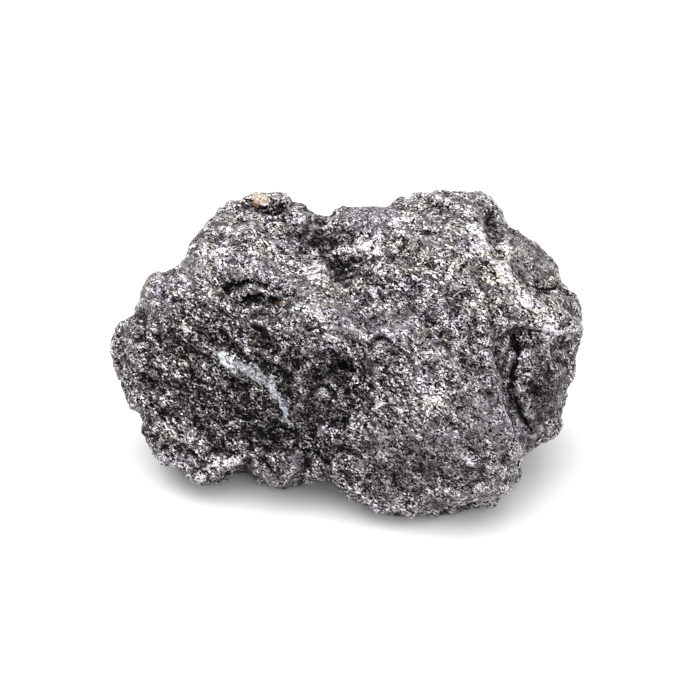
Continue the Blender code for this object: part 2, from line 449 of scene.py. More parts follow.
# How far the painted minerals drift from their places, and the size of that drift. The vein and the
# small spots keep closer to theirs.
MINERAL_DRIFT = 1.6
SPOT_BEND = 0.9
SMALL_SPOT_BEND = 0.40
VEIN_BEND = 0.12
CRACK_BEND = 0.3

# How the front's minerals come in over the rim, and the value that keeps them off the back.
MINERAL_EDGE = (-1.0, 1.5)
OFF_THE_FRONT = -2.0

# The quartz vein, as its middle line and its half width at each of that line's corners.
QUARTZ_VEIN = [
    (-15.9, -0.2),
    (-14.9, -1.3),
    (-13.4, -1.7),
    (-12.0, -2.0),
    (-10.6, -3.4),
    (-9.3, -3.7),
    (-9.0, -5.2),
    (-7.8, -6.6),
    (-7.5, -8.2),
    (-6.4, -9.5),
]
VEIN_HALF_WIDTHS = [0.65, 0.95, 0.55, 0.75, 0.58, 0.75, 0.36, 0.44, 0.28, 0.20]

# Painted shadow in open cracks and under ledges, coloured black: their paths, and how far the painted
# shadow reaches to either side.
CRACK_SHADOWS = [
    (RIGHT_SPLIT, 0.85),
    ([(-15.4, 8.2), (-14.2, 8.6), (-12.4, 9.2), (-10.0, 8.8)], 0.8),
    ([(-13.2, 6.7), (-12.3, 7.1), (-10.4, 7.3), (-8.4, 6.8)], 0.9),
    ([(-11.9, 19.0), (-10.4, 18.7), (-9.0, 18.7), (-8.0, 19.2)], 0.8),
    ([(-11.4, 4.0), (-10.8, 2.6), (-9.8, 1.2)], 0.4),
    ([(22.8, 8.7), (24.2, 8.2), (26.4, 8.4)], 0.6),
    ([(0.8, 1.5), (2.4, 1.0), (4.4, 1.9), (6.0, 1.3)], 0.4),
    ([(-0.2, 12.0), (2.0, 12.7), (4.0, 14.0)], 0.4),
]

# Spots of pale grains, of bluish and warm tints, of tan sand and of rust: (middle, half sizes, turn).
WHITE_SPOTS = [
    ((-15.3, -0.9), (1.9, 0.9), -42.0),
    ((5.0, -6.4), (2.6, 1.3), -18.0),
    ((8.4, -6.6), (1.6, 0.9), 10.0),
    ((11.3, -5.6), (1.8, 1.5), 20.0),
    ((-17.6, -4.2), (1.7, 0.6), -10.0),
    ((-21.0, -9.6), (2.1, 1.4), -30.0),
    ((-14.8, -13.4), (2.4, 1.5), 10.0),
    ((-16.8, -14.9), (2.2, 1.1), 20.0),
    ((-20.2, -13.4), (1.6, 1.1), -30.0),
    ((-18.2, -11.9), (1.2, 0.8), -30.0),
    ((-22.2, -1.6), (1.5, 1.3), 0.0),
    ((-20.0, 3.4), (1.1, 1.0), 0.0),
    ((16.8, 14.4), (1.5, 2.6), 25.0),
    ((19.4, 10.2), (1.7, 2.8), 25.0),
    ((22.6, 6.8), (3.0, 1.3), -48.0),
    ((25.8, 3.2), (3.2, 1.5), -48.0),
    ((2.6, 13.4), (3.6, 1.4), 15.0),
    ((4.2, 11.0), (1.2, 1.0), 0.0),
    ((7.0, 16.4), (1.6, 1.4), 0.0),
    ((-16.4, 13.0), (2.0, 1.0), 20.0),
    ((-3.6, 10.4), (2.6, 1.8), -30.0),
    ((-2.6, 1.6), (1.8, 1.0), -20.0),
]

BLUE_SPOTS = [
    ((20.2, -7.0), (2.0, 4.6), 24.0),
    ((16.6, -5.6), (3.0, 2.4), 0.0),
    ((23.8, -10.6), (3.0, 1.4), -45.0),
    ((-12.2, 11.0), (3.6, 2.0), -15.0),
    ((-23.8, 7.8), (1.6, 2.2), 20.0),
    ((-5.0, 13.8), (3.0, 1.2), -10.0),
    ((0.6, 18.2), (2.4, 1.1), 10.0),
    ((4.2, 17.0), (2.6, 1.6), 0.0),
    ((3.0, 3.0), (7.0, 2.6), -14.0),
    ((-6.4, 5.0), (3.0, 1.6), -20.0),
    ((-18.4, -9.4), (1.8, 1.0), -30.0),
    ((9.0, 8.4), (2.6, 1.4), 0.0),
    ((13.4, 9.0), (3.0, 1.6), -20.0),
    ((9.8, 4.8), (2.2, 1.2), -10.0),
]

# Where the front is darker or paler: partly the stone's own dark graphite or pale grains, and partly
# painted shade, darker on its lower faces, in its hollows and under its ledges: (middle, half sizes,
# turn, change).
TONES = [
    ((-19.0, -2.5), (11.0, 7.0), 8.0, -0.26),
    ((-9.0, -7.0), (7.0, 7.0), 0.0, -0.24),
    ((0.5, -3.0), (6.5, 3.6), -24.0, -0.25),
    ((12.0, -13.0), (11.0, 8.0), 0.0, -0.10),
    ((25.4, -4.4), (3.6, 6.4), 0.0, -0.24),
    ((-3.6, 15.0), (4.0, 2.2), -10.0, -0.24),
    ((-0.2, 10.4), (1.9, 1.4), 15.0, -0.42),
    ((4.6, 9.0), (3.0, 1.4), -15.0, -0.20),
    ((18.5, 16.4), (1.2, 1.8), 0.0, -0.20),
    ((-9.2, 19.0), (1.6, 0.7), 0.0, -0.35),
    ((-14.2, 8.8), (2.6, 0.8), 0.0, -0.30),
    ((-10.6, 6.8), (2.8, 0.7), 0.0, -0.30),
    ((-8.2, -10.8), (2.4, 1.6), 0.0, -0.25),
    ((-17.5, -9.5), (5.0, 4.0), -30.0, -0.12),
    ((-1.5, -13.5), (2.6, 3.4), 0.0, -0.20),
    ((5.0, -15.5), (5.0, 2.0), 0.0, -0.10),
    ((19.5, -2.4), (3.4, 2.2), 0.0, -0.13),
    ((-13.5, 3.0), (2.6, 2.0), 0.0, -0.14),
    ((-21.0, 2.5), (3.4, 2.2), 0.0, -0.12),
    ((24.0, 4.6), (4.2, 1.8), -40.0, 0.12),
    ((-13.0, 12.0), (6.5, 4.5), 0.0, 0.11),
    ((-19.4, 9.6), (2.2, 1.4), 0.0, 0.08),
    ((12.0, 18.6), (9.0, 3.2), 0.0, 0.08),
    ((0.0, 5.2), (4.6, 2.4), 0.0, 0.08),
    ((12.4, 11.6), (3.0, 3.0), 0.0, 0.05),
    ((20.0, -9.4), (6.0, 3.0), 0.0, 0.08),
    ((11.0, -19.6), (8.0, 1.6), 0.0, 0.08),
    ((-1.5, -7.0), (2.4, 2.8), 0.0, -0.10),
    ((-24.2, -11.0), (2.6, 3.2), 0.0, -0.12),
    ((-17.5, 5.4), (4.0, 1.8), 0.0, -0.07),
    ((-11.0, -12.0), (4.0, 2.0), 0.0, -0.06),
    ((-1.3, -10.0), (2.6, 4.0), 0.0, -0.06),
    ((7.9, 16.2), (2.4, 1.6), 0.0, 0.03),
    ((3.3, 16.4), (2.0, 1.4), 0.0, 0.11),
    ((-3.6, 5.4), (3.6, 1.6), 0.0, 0.10),
    ((-18.5, 3.4), (4.4, 2.4), 0.0, -0.08),
    ((12.2, 5.4), (2.2, 1.4), 0.0, -0.12),
    ((15.0, 9.4), (2.6, 1.4), 0.0, 0.08),
    ((21.6, 12.6), (1.8, 1.2), 0.0, 0.09),
    ((21.8, 8.8), (1.4, 1.2), 0.0, -0.09),
    ((-24.2, -10.6), (2.2, 3.2), 0.0, -0.12),
    ((-15.0, -10.4), (2.4, 2.4), 0.0, -0.08),
    ((3.2, -5.2), (2.0, 1.6), 0.0, 0.11),
    ((-15.4, -2.2), (1.8, 1.4), 0.0, 0.09),
    ((26.4, 1.6), (2.0, 1.8), 0.0, 0.10),
    ((8.0, 12.6), (2.0, 1.4), 0.0, 0.07),
    ((-1.3, -12.4), (1.6, 2.0), 0.0, -0.08),
    ((12.4, -8.9), (2.2, 1.6), 0.0, 0.08),
    ((17.6, 19.6), (2.0, 1.4), 0.0, 0.10),
    ((26.0, 9.0), (1.8, 1.6), 0.0, 0.08),
    ((0.6, 12.6), (1.8, 1.2), 0.0, 0.08),
    ((-24.0, 8.9), (1.6, 1.6), 0.0, 0.09),
    ((-24.2, -12.4), (1.6, 1.4), 0.0, -0.08),
    ((-15.2, -1.8), (1.8, 1.4), 0.0, 0.08),
    ((27.0, 2.0), (2.6, 2.6), 0.0, 0.08),
    ((-7.2, 17.0), (2.0, 1.4), 0.0, 0.10),
    ((14.0, 6.6), (3.0, 2.0), 0.0, 0.06),
    ((6.0, -8.0), (5.0, 3.0), 0.0, 0.06),
]

WARM_SPOTS = [
    ((19.0, 9.6), (8.0, 6.0), 0.0),
    ((9.0, 12.0), (5.0, 4.0), 0.0),
    ((-20.0, 2.0), (6.0, 5.0), 0.0),
]

TAN_GRAIN = [((-11.0, 19.8), (1.3, 0.65), -8.0)]
RUST_SPOTS = [((-8.4, 6.5), (0.6, 0.35), -20.0), ((-11.6, 19.0), (0.9, 0.35), -8.0)]

# How much darker the back is.
BACK_TONE = -0.12


def tones(points):
    """How much paler or darker than the rest the front is at each point."""
    total = np.zeros(len(points))
    for middle, half_sizes, turn, change in TONES:
        spread = 1 - near_spots(points, [(middle, half_sizes, turn)])
        total += change * np.exp(-(spread ** 2))
    return total


def paint(mesh, name, values):
    """Keeps one number on each vertex of the mesh."""
    layer = mesh.attributes.new(name, "FLOAT", "POINT")
    layer.data.foreach_set("value", values.astype(np.float32))


def paint_minerals_and_shade(mesh, points, cavity):
    """Keeps on the mesh where each mineral grows, the stone's tone and where shade is painted in its
    creases and cracks, for its material to read.
    """
    front = smooth_step(*MINERAL_EDGE, out_of_rim(points))
    outside = OFF_THE_FRONT * (1 - front)
    wander = np.stack([lumps(points + shift, MINERAL_DRIFT) for shift in MINERAL_SHIFTS], axis=1)
    spots = points.copy()
    spots[:, :2] += SPOT_BEND * wander
    small_spots = points.copy()
    small_spots[:, :2] += SMALL_SPOT_BEND * wander
    bend = drift(points)
    paint(mesh, "vein", near_path(points + VEIN_BEND * bend, QUARTZ_VEIN, VEIN_HALF_WIDTHS) + outside)
    # The painted shadow in the cracks and under the ledges, kept for the material.
    paint(mesh, "crack", near_crack_shadows(points + CRACK_BEND * bend) + outside)
    paint(mesh, "smooth", near_spots(spots, SMOOTH_SPOTS) + outside)
    paint(mesh, "white", near_spots(spots, WHITE_SPOTS) + outside)
    paint(mesh, "blue", near_spots(spots, BLUE_SPOTS) + outside)
    # The tone is partly the stone's own and partly painted shade.
    paint(mesh, "tone", tones(spots) * front + BACK_TONE * (1 - front))
    paint(mesh, "warm", near_spots(spots, WARM_SPOTS) + outside)
    paint(mesh, "tan", near_spots(small_spots, TAN_GRAIN) + outside)
    paint(mesh, "rust", near_spots(small_spots, RUST_SPOTS) + outside)
    # How deep each place sinks, which the material darkens as painted shade.
    paint(mesh, "cavity", cavity)
    layout = mesh.attributes.new("grain_place", "FLOAT_VECTOR", "POINT")
    layout.data.foreach_set("vector", along_grain(points).astype(np.float32).ravel())


# ---------------------------------------------------------------- the bake's map

# The half sizes of the box that the map is laid out from, and how much of its sheet a side fills.
MAP_HALF_SIZES = np.array([30.0, 20.0, 15.0])
SHEET_FILL = 0.985


def lay_out_map(mesh, points):
    """A map of six sheets with no overlaps, one for each side of a box round the stone."""
    scaled = points / MAP_HALF_SIZES
    corner = np.empty(len(mesh.loops), np.int32)
    mesh.loops.foreach_get("vertex_index", corner)
    totals = np.empty(len(mesh.polygons), np.int32)
    mesh.polygons.foreach_get("loop_total", totals)
    starts = np.empty(len(mesh.polygons), np.int32)
    mesh.polygons.foreach_get("loop_start", starts)
    places = scaled[corner]
    face_middles = np.add.reduceat(places, starts, axis=0) / totals[:, None]
    axis = np.abs(face_middles).argmax(axis=1)
    sign = np.take_along_axis(face_middles, axis[:, None], axis=1)[:, 0] > 0
    axis, sign = np.repeat(axis, totals), np.repeat(sign, totals)
    pick = np.arange(len(corner))
    depth = np.maximum(np.abs(places[pick, axis]), TINY)
    across = np.arctan(places[pick, (axis + 1) % 3] / depth) / (math.pi / 2)
    along = np.arctan(places[pick, (axis + 2) % 3] / depth) / (math.pi / 2)

    # The front's and the back's sheets are turned, so that the stone's length runs up their long side.
    faces_out = axis == 2
    across, along = np.where(faces_out, -along, across), np.where(faces_out, across, along)
    sheet = axis + 3 * sign
    u = (sheet % 3 + 0.5 + SHEET_FILL * across) / 3
    v = (sheet // 3 + 0.5 + SHEET_FILL * along) / 2
    layer = mesh.uv_layers.new(name="OFBake")
    layer.uv.foreach_set("vector", np.stack([u, v], axis=1).astype(np.float32).ravel())


# ---------------------------------------------------------------- materials

# The middle of every pattern and random number, which run from 0 to 1, and of three at once.
HALFWAY = 0.5
HALF_VECTOR = (HALFWAY, HALFWAY, HALFWAY)


class Shader:
    """Short calls for a material's node tree."""

    def __init__(self, name):
        self.material = bpy.data.materials.new(name)
        self.material.use_nodes = True
        self.tree = self.material.node_tree
        self.surface = self.tree.nodes["Principled BSDF"]

    def node(self, kind, inputs=(), **settings):
        made = self.tree.nodes.new(kind)
        for name, value in settings.items():
            setattr(made, name, value)
        for name, value in dict(inputs).items():
            self.feed(made.inputs[name], value)
        return made

    def feed(self, socket, value):
        if isinstance(value, bpy.types.NodeSocket):
            self.tree.links.new(value, socket)
        else:
            socket.default_value = value

    def math(self, operation, a, b=0.0):
        return self.node("ShaderNodeMath", {0: a, 1: b}, operation=operation).outputs[0]

    def times(self, a, b):
        return self.math("MULTIPLY", a, b)

    def less(self, a, b):
        """The first value, less the second."""
        return self.math("SUBTRACT", a, b)

    def centred(self, a):
        """A pattern that runs from 0 to 1, moved to run about 0."""
        return self.less(a, HALFWAY)

    def sum(self, first, *others):
        total = first
        for other in others:
            total = self.math("ADD", total, other)
        return total

    def most(self, first, *others):
        """The largest of some values."""
        total = first
        for other in others:
            total = self.math("MAXIMUM", total, other)
        return total

    def vector(self, operation, a, b=(0, 0, 0)):
        return self.node("ShaderNodeVectorMath", {0: a, 1: b}, operation=operation).outputs[0]

    def centred_vector(self, a):
        return self.vector("SUBTRACT", a, HALF_VECTOR)

    def stretched(self, a, factors):
        return self.vector("MULTIPLY", a, factors)

    def scale(self, a, factor):
        return self.node("ShaderNodeVectorMath", {0: a, "Scale": factor}, operation="SCALE").outputs[0]

    def attribute(self, name):
        return self.node("ShaderNodeAttribute", attribute_name=name).outputs["Fac"]

    def step(self, value, low, high):
        """A smooth step from 0 at low to 1 at high, which may be the lower of the two."""
        inputs = {"Value": value, "From Min": low, "From Max": high}
        return self.node("ShaderNodeMapRange", inputs, interpolation_type="SMOOTHSTEP").outputs["Result"]

    def mix(self, share, a, b):
        made = self.node("ShaderNodeMix", {0: share, 6: a, 7: b}, data_type="RGBA", clamp_factor=True)
        return made.outputs[2]

    def mix_number(self, share, a, b):
        made = self.node("ShaderNodeMix", {0: share, 2: a, 3: b}, data_type="FLOAT", clamp_factor=True)
        return made.outputs[0]

    def tinted(self, colour, tint):
        inputs = {0: 1.0, 6: colour, 7: tint}
        return self.node("ShaderNodeMix", inputs, data_type="RGBA", blend_type="MULTIPLY").outputs[2]

    def ramp(self, value, stops):
        made = self.node("ShaderNodeValToRGB", {"Fac": value})
        while len(made.color_ramp.elements) < len(stops):
            made.color_ramp.elements.new(0.5)
        for element, (place, colour) in zip(made.color_ramp.elements, stops):
            element.position = place
            element.color = (*colour, 1)
        return made.outputs["Color"]

    def noise(self, where, size, detail=2.0):
        inputs = {"Vector": where, "Scale": 1 / size, "Detail": detail}
        return self.node("ShaderNodeTexNoise", inputs).outputs

    def cells(self, where, size):
        return self.node("ShaderNodeTexVoronoi", {"Vector": where, "Scale": 1 / size}).outputs

    def random_numbers(self, cells):
        """Three random numbers for each cell."""
        return self.node("ShaderNodeSeparateColor", {"Color": cells["Color"]}).outputs


# Colours of graphite, quartz and sand, from dark to bright: (brightness, colour).
GREYS = [
    (0.00, (0.0010, 0.0008, 0.0008)),
    (0.09, (0.0125, 0.0107, 0.0104)),
    (0.24, (0.0560, 0.0510, 0.0515)),
    (0.40, (0.1300, 0.1220, 0.1245)),
    (0.56, (0.2420, 0.2340, 0.2400)),
    (0.72, (0.4000, 0.3920, 0.3990)),
    (0.88, (0.6700, 0.6650, 0.6700)),
    (1.00, (0.9300, 0.9300, 0.9300)),
]
QUARTZ = [
    (0.20, (0.06, 0.06, 0.075)),
    (0.45, (0.27, 0.27, 0.31)),
    (0.70, (0.56, 0.57, 0.62)),
    (0.95, (0.88, 0.89, 0.92)),
]
SAND = [
    (0.20, (0.10, 0.062, 0.045)),
    (0.48, (0.46, 0.35, 0.275)),
    (0.80, (0.90, 0.80, 0.72)),
]
WARM_TINT = (1.0, 0.945, 0.80, 1)
BLUE_TINT = (0.93, 0.93, 1.0, 1)
LILAC_TINT = (0.98, 0.945, 1.0, 1)
CREAM_TINT = (1.0, 0.975, 0.93, 1)
RUST = (0.20, 0.105, 0.055, 1)

# Sizes of the flakes and of what they make up, in millimetres.
CHIP_SIZE = 0.16
FLAKE_SIZE = 0.28
GRAIN_SIZE = 0.50
BLOCK_SIZE = 1.5
CRUMB_SIZE = 0.85
HOLE_SIZE = 0.50
GRIT_SIZE = 0.20
CLUMP_SIZE = 2.4
BAND_SIZE = 3.0
BAND_STRETCH = (0.35, 1.5, 1.0)
PATCH_SIZE = 3.4
EVEN_SIZE = 1.1
SEAM_PATCH_SIZE = 1.5

# The fine speckle is grit, with this share of it from the flakes' random numbers.
FLAKE_SPECKLE = 0.4

# How far the cells' edges wander, and over what size.
WANDER_SIZE = 0.6
FLAKE_WANDER = 0.4
BLOCK_WANDER = 0.9

# Where the brightness starts, and how far each pattern sways it. Of a pair, the first is where the
# stone is rough and the second where it is worn flat.
START = (-0.07, -0.055)
CHIP_SWAY = (0.92, 0.60)
FLAKE_SWAY = (0.46, 0.24)
GRAIN_SWAY = (0.14, 0.10)
BLOCK_SWAY = 0.14
CLUMP_SWAY = 0.30
BAND_SWAY = 0.34
GRIT_SWAY = 0.30
# Painted shade: how much the creases darken the colour.
CAVITY_SHADE = 0.42
# Painted shade: how much the seams and holes darken the colour.
HOLLOW_SHADE = 0.60
WHITE_GAIN = 0.40
# A painted glint: how much a few flakes brighten the colour.
GLINT_GAIN = 0.30

# The sparkle's and the hollows' shares between the even patches and in them, and the hollows' shares
# where the stone is rough and where it is worn flat.
EVEN_SHARE = (1.20, 0.45)
EVEN_HOLLOWS = (1.0, 0.5)
FLAT_HOLLOWS = (1.0, 0.45)

# Between which two values each thing comes in, from none of it to all of it.
FLAT_EDGE = (-0.35, 0.65)
EVEN_EDGE = (0.50, 0.58)
CHIP_EDGE = (0.1, 0.9)
BLUE_EDGE = (0.25, 0.65)
WHITE_EDGE = (0.60, 0.90)
VEIN_EDGE = (0.82, 1.00)
TAN_EDGE = (0.50, 0.75)
RUST_EDGE = (0.6, 1.1)
WARM_EDGE = (0.0, 0.6)
WARM_FLAKES = (0.55, 1.2)
SEAM_EDGE = (0.050, 0.0)
SEAM_PATCHES = (0.42, 0.60)
HOLE_EDGE = (0.40, 0.30)
CRACK_EDGE = (1.24, 1.36)
GLINT_EDGE = (0.90, 0.94)
LILAC_EDGE = (0.35, 0.65)
SHINE_EDGE = (0.10, 0.40)

# How strongly the patches and the grains break up the edges of what is painted on the mesh, and the
# most of the white paint that counts. The vein's edge is broken up by speckle and by whole grains.
PATCH_SHARE = 3.0
BLUE_BREAK = 0.5
WHITE_BREAK = 0.9
WHITEST = 0.45
VEIN_SPECKLE = 0.6
VEIN_GRAINS = 0.8
RUST_BREAK = 1.2

# How strongly the blue and rust tints colour, and what makes up the quartz's brightness.
BLUE_STRENGTH = 0.8
RUST_STRENGTH = 0.8
QUARTZ_SPECKLE = 0.8
QUARTZ_CHIPS = 0.3
QUARTZ_WHITE = 0.35
# QUARTZ_HOLLOWS is painted shade in the quartz's hollows.
QUARTZ_HOLLOWS = 0.25
QUARTZ_START = -0.10

# How metallic a bright flake is, and how rough: from glossy to matt on flakes, and dull elsewhere.
METAL = 0.75
DIELECTRIC_LEVEL = 0.05
GLOSSY, MATT, DULL = 0.30, 0.58, 0.60
WHITE_DULLNESS = 0.7

# How far flakes lean, where the stone is rough and where it is flat, and dark flakes' share of that.
FLAKE_TILT = (0.8, 0.4)
DARK_TILT = 0.3

# The bumps' height, and what they are made of.
BUMP_HEIGHT = 0.06 * MM
BUMP_STRENGTH = 0.8
BUMP_GRIT = 0.6
BUMP_FLAKES = 0.5
BUMP_HOLLOWS = 1.2


def grown(nodes, name, broken_by, edge):
    """Something painted on the mesh, from 0 to 1, with its edge broken up by a pattern."""
    return nodes.step(nodes.sum(nodes.attribute(name), broken_by), *edge)


def flake_patterns(nodes):
    """The random patterns of every size, and where the stone is worn flat and where it is even."""
    place = nodes.node("ShaderNodeAttribute", attribute_name="grain_place").outputs["Vector"]
    wander = nodes.centred_vector(nodes.noise(place, WANDER_SIZE, detail=3.0)["Color"])
    bent = nodes.vector("ADD", place, nodes.scale(wander, FLAKE_WANDER))
    flakes = nodes.cells(bent, FLAKE_SIZE)
    grains = nodes.cells(bent, GRAIN_SIZE)
    blocks = nodes.cells(nodes.vector("ADD", place, nodes.scale(wander, BLOCK_WANDER)), BLOCK_SIZE)
    flake_random = nodes.random_numbers(flakes)
    grit = nodes.noise(place, GRIT_SIZE)["Fac"]
    patches = nodes.centred(nodes.noise(place, PATCH_SIZE)["Fac"])
    return SimpleNamespace(
        flakes=flakes,
        grains=grains,
        chip_random=nodes.random_numbers(nodes.cells(bent, CHIP_SIZE)),
        flake_random=flake_random,
        grain_random=nodes.random_numbers(grains),
        block_random=nodes.random_numbers(blocks),
        clump=nodes.noise(place, CLUMP_SIZE, detail=4.0)["Fac"],
        bands=nodes.noise(nodes.stretched(place, BAND_STRETCH), BAND_SIZE, detail=3.0)["Fac"],
        crumb=nodes.noise(bent, CRUMB_SIZE, detail=3.0)["Fac"],
        holes=nodes.noise(bent, HOLE_SIZE)["Fac"],
        seam_patches=nodes.noise(place, SEAM_PATCH_SIZE, detail=1.0)["Fac"],
        grit=grit,
        speckle=nodes.mix_number(FLAKE_SPECKLE, grit, flake_random[0]),
        flat=grown(nodes, "smooth", nodes.times(patches, PATCH_SHARE), FLAT_EDGE),
        even=nodes.step(nodes.noise(bent, EVEN_SIZE)["Fac"], *EVEN_EDGE),
    )


def minerals(nodes, stone):
    """Each mineral from 0 to 1, with edges broken up by the grains."""
    whitest = nodes.math("MINIMUM", nodes.attribute("white"), WHITEST)
    white_grains = nodes.times(stone.grain_random[1], WHITE_BREAK)
    vein_speckle = nodes.times(stone.speckle, VEIN_SPECKLE)
    vein_grains = nodes.times(stone.grain_random[2], VEIN_GRAINS)
    warm_flakes = nodes.step(stone.flake_random[1], *WARM_FLAKES)
    return SimpleNamespace(
        blue=grown(nodes, "blue", nodes.times(stone.clump, BLUE_BREAK), BLUE_EDGE),
        white=nodes.step(nodes.sum(whitest, white_grains), *WHITE_EDGE),
        vein=grown(nodes, "vein", nodes.sum(vein_speckle, vein_grains), VEIN_EDGE),
        tan=grown(nodes, "tan", stone.speckle, TAN_EDGE),
        rust=grown(nodes, "rust", nodes.times(stone.speckle, RUST_BREAK), RUST_EDGE),
        warm=nodes.times(nodes.step(nodes.attribute("warm"), *WARM_EDGE), warm_flakes),
    )


def shaded_hollows(nodes, stone):
    """The seams and holes between the crumbs, which are coloured black as painted shade."""
    seam = nodes.step(nodes.math("ABSOLUTE", nodes.centred(stone.crumb)), *SEAM_EDGE)
    seam = nodes.times(seam, nodes.step(stone.seam_patches, *SEAM_PATCHES))
    hollow = nodes.most(seam, nodes.step(stone.holes, *HOLE_EDGE))
    hollow = nodes.times(hollow, nodes.mix_number(stone.flat, *FLAT_HOLLOWS))
    return nodes.times(hollow, nodes.mix_number(stone.even, *EVEN_HOLLOWS))


def brightness(nodes, stone, white, hollow, crack_shadow):
    """How bright the graphite's colour is, from 0 in its gaps to 1 on a flake that shines, with painted
    shade in its creases, hollows and cracks, and painted glints on a few flakes.
    """
    chip = nodes.centred(nodes.step(stone.chip_random[0], *CHIP_EDGE))
    flake = nodes.centred(stone.flake_random[0])
    sparkle = nodes.sum(
        nodes.times(chip, nodes.mix_number(stone.flat, *CHIP_SWAY)),
        nodes.times(flake, nodes.mix_number(stone.flat, *FLAKE_SWAY)),
        nodes.times(nodes.centred(stone.grit), GRIT_SWAY),
    )
    # A painted glint: a few random flakes are coloured brighter, standing in for their highlights.
    glint = nodes.times(nodes.step(stone.flake_random[1], *GLINT_EDGE), nodes.less(1.0, stone.flat))
    return nodes.sum(
        nodes.mix_number(stone.flat, *START),
        nodes.times(sparkle, nodes.mix_number(stone.even, *EVEN_SHARE)),
        nodes.times(stone.grain_random[0], nodes.mix_number(stone.flat, *GRAIN_SWAY)),
        nodes.times(stone.block_random[0], BLOCK_SWAY),
        nodes.times(stone.clump, CLUMP_SWAY),
        nodes.times(stone.bands, BAND_SWAY),
        # Painted shade: creases are coloured darker, the deeper they sink.
        nodes.times(nodes.attribute("cavity"), -CAVITY_SHADE),
        # The tone, which holds painted shade in the hollows, under the ledges and on the lower faces.
        nodes.attribute("tone"),
        nodes.times(white, WHITE_GAIN),
        nodes.times(glint, GLINT_GAIN),
        # Painted shade: the seams and holes are coloured dark.
        nodes.times(hollow, -HOLLOW_SHADE),
        # Painted shadow: the cracks are coloured black.
        nodes.times(crack_shadow, -1.0),
    )


def mineral_colour(nodes, stone, found, value, hollow):
    """The greys of the graphite, tinted from block to block, under the colours of the minerals."""
    tint = nodes.mix(nodes.step(stone.block_random[1], *LILAC_EDGE), LILAC_TINT, CREAM_TINT)
    colour = nodes.tinted(nodes.ramp(value, GREYS), tint)
    colour = nodes.mix(found.warm, colour, nodes.tinted(colour, WARM_TINT))
    colour = nodes.mix(nodes.times(found.blue, BLUE_STRENGTH), colour, nodes.tinted(colour, BLUE_TINT))
    quartz_value = nodes.sum(
        nodes.times(stone.speckle, QUARTZ_SPECKLE),
        nodes.times(stone.chip_random[1], QUARTZ_CHIPS),
        nodes.times(found.white, QUARTZ_WHITE),
        # Painted shade: the quartz is coloured darker in the hollows.
        nodes.times(hollow, -QUARTZ_HOLLOWS),
        QUARTZ_START,
    )
    colour = nodes.mix(found.vein, colour, nodes.ramp(quartz_value, QUARTZ))
    colour = nodes.mix(found.tan, colour, nodes.ramp(stone.speckle, SAND))
    return nodes.mix(nodes.times(found.rust, RUST_STRENGTH), colour, RUST)


def leaning_flakes(nodes, stone, shine, hollow):
    """The surface's direction: each flake and each grain leans its own way, and hollows sink in."""
    tilt = nodes.times(nodes.mix_number(shine, DARK_TILT, 1.0), nodes.mix_number(stone.flat, *FLAKE_TILT))
    flake_lean = nodes.centred_vector(stone.flakes["Color"])
    grain_lean = nodes.centred_vector(stone.grains["Color"])
    leans = nodes.scale(nodes.vector("ADD", flake_lean, grain_lean), tilt)
    straight = nodes.node("ShaderNodeNewGeometry").outputs["Normal"]
    height = nodes.sum(
        nodes.times(stone.grit, BUMP_GRIT),
        nodes.times(stone.flakes["Distance"], -BUMP_FLAKES),
        nodes.times(hollow, -BUMP_HOLLOWS),
    )
    inputs = {
        "Height": height,
        "Normal": nodes.vector("NORMALIZE", nodes.vector("ADD", straight, leans)),
        "Distance": BUMP_HEIGHT,
        "Strength": BUMP_STRENGTH,
    }
    return nodes.node("ShaderNodeBump", inputs).outputs["Normal"]


def graphite_material():
    """Flakes of graphite that each shine their own way, between dark gaps, with minerals grown in."""
    nodes = Shader("graphite_flakes")
    stone = flake_patterns(nodes)
    found = minerals(nodes, stone)
    hollow = shaded_hollows(nodes, stone)
    # Where the cracks' shadow is painted black.
    crack_shadow = grown(nodes, "crack", stone.crumb, CRACK_EDGE)
    value = brightness(nodes, stone, found.white, hollow, crack_shadow)
    nodes.feed(nodes.surface.inputs["Base Color"], mineral_colour(nodes, stone, found, value, hollow))

    # Only bright graphite shines like metal. The minerals and the gaps are dull.
    mineral = nodes.most(found.vein, found.tan, nodes.times(found.white, WHITE_DULLNESS))
    dull = nodes.math("MINIMUM", nodes.most(mineral, hollow, crack_shadow), 1.0)
    shine = nodes.times(nodes.less(1.0, dull), nodes.step(value, *SHINE_EDGE))
    roughness = nodes.mix_number(stone.flake_random[2], GLOSSY, MATT)
    nodes.feed(nodes.surface.inputs["Metallic"], nodes.times(shine, METAL))
    nodes.feed(nodes.surface.inputs["Roughness"], nodes.mix_number(dull, roughness, DULL))
    nodes.feed(nodes.surface.inputs["Normal"], leaning_flakes(nodes, stone, shine, hollow))
    nodes.surface.inputs["Specular IOR Level"].default_value = DIELECTRIC_LEVEL
    return nodes.material


FLOOR_GREYS = [(0.0, (0.90, 0.90, 0.90)), (1.0, (0.92, 0.92, 0.92))]
FLOOR_MOTTLE = 0.004
FLOOR_ROUGHNESS = 0.9
FLOOR_SHINE = 0.1


def floor_material():
    """Pale and matt, with a mottle that is hardly seen."""
    nodes = Shader("white_floor")
    place = nodes.node("ShaderNodeTexCoord").outputs["Object"]
    mottle = nodes.noise(place, FLOOR_MOTTLE, detail=3.0)["Fac"]
    nodes.feed(nodes.surface.inputs["Base Color"], nodes.ramp(mottle, FLOOR_GREYS))
    nodes.surface.inputs["Roughness"].default_value = FLOOR_ROUGHNESS
    nodes.surface.inputs["Specular IOR Level"].default_value = FLOOR_SHINE
    return nodes.material


# ---------------------------------------------------------------- the stone

# A cavity is how far a place lies below its neighbourhood, and the material darkens it as painted shade:
# the smoothing passes that make the neighbourhood's surface, the gain per millimetre, and the limits of
# the result.
CAVITY_PASSES = 14
CAVITY_GAIN = 4.0
CAVITY_LIMITS = (-0.6, 1.0)


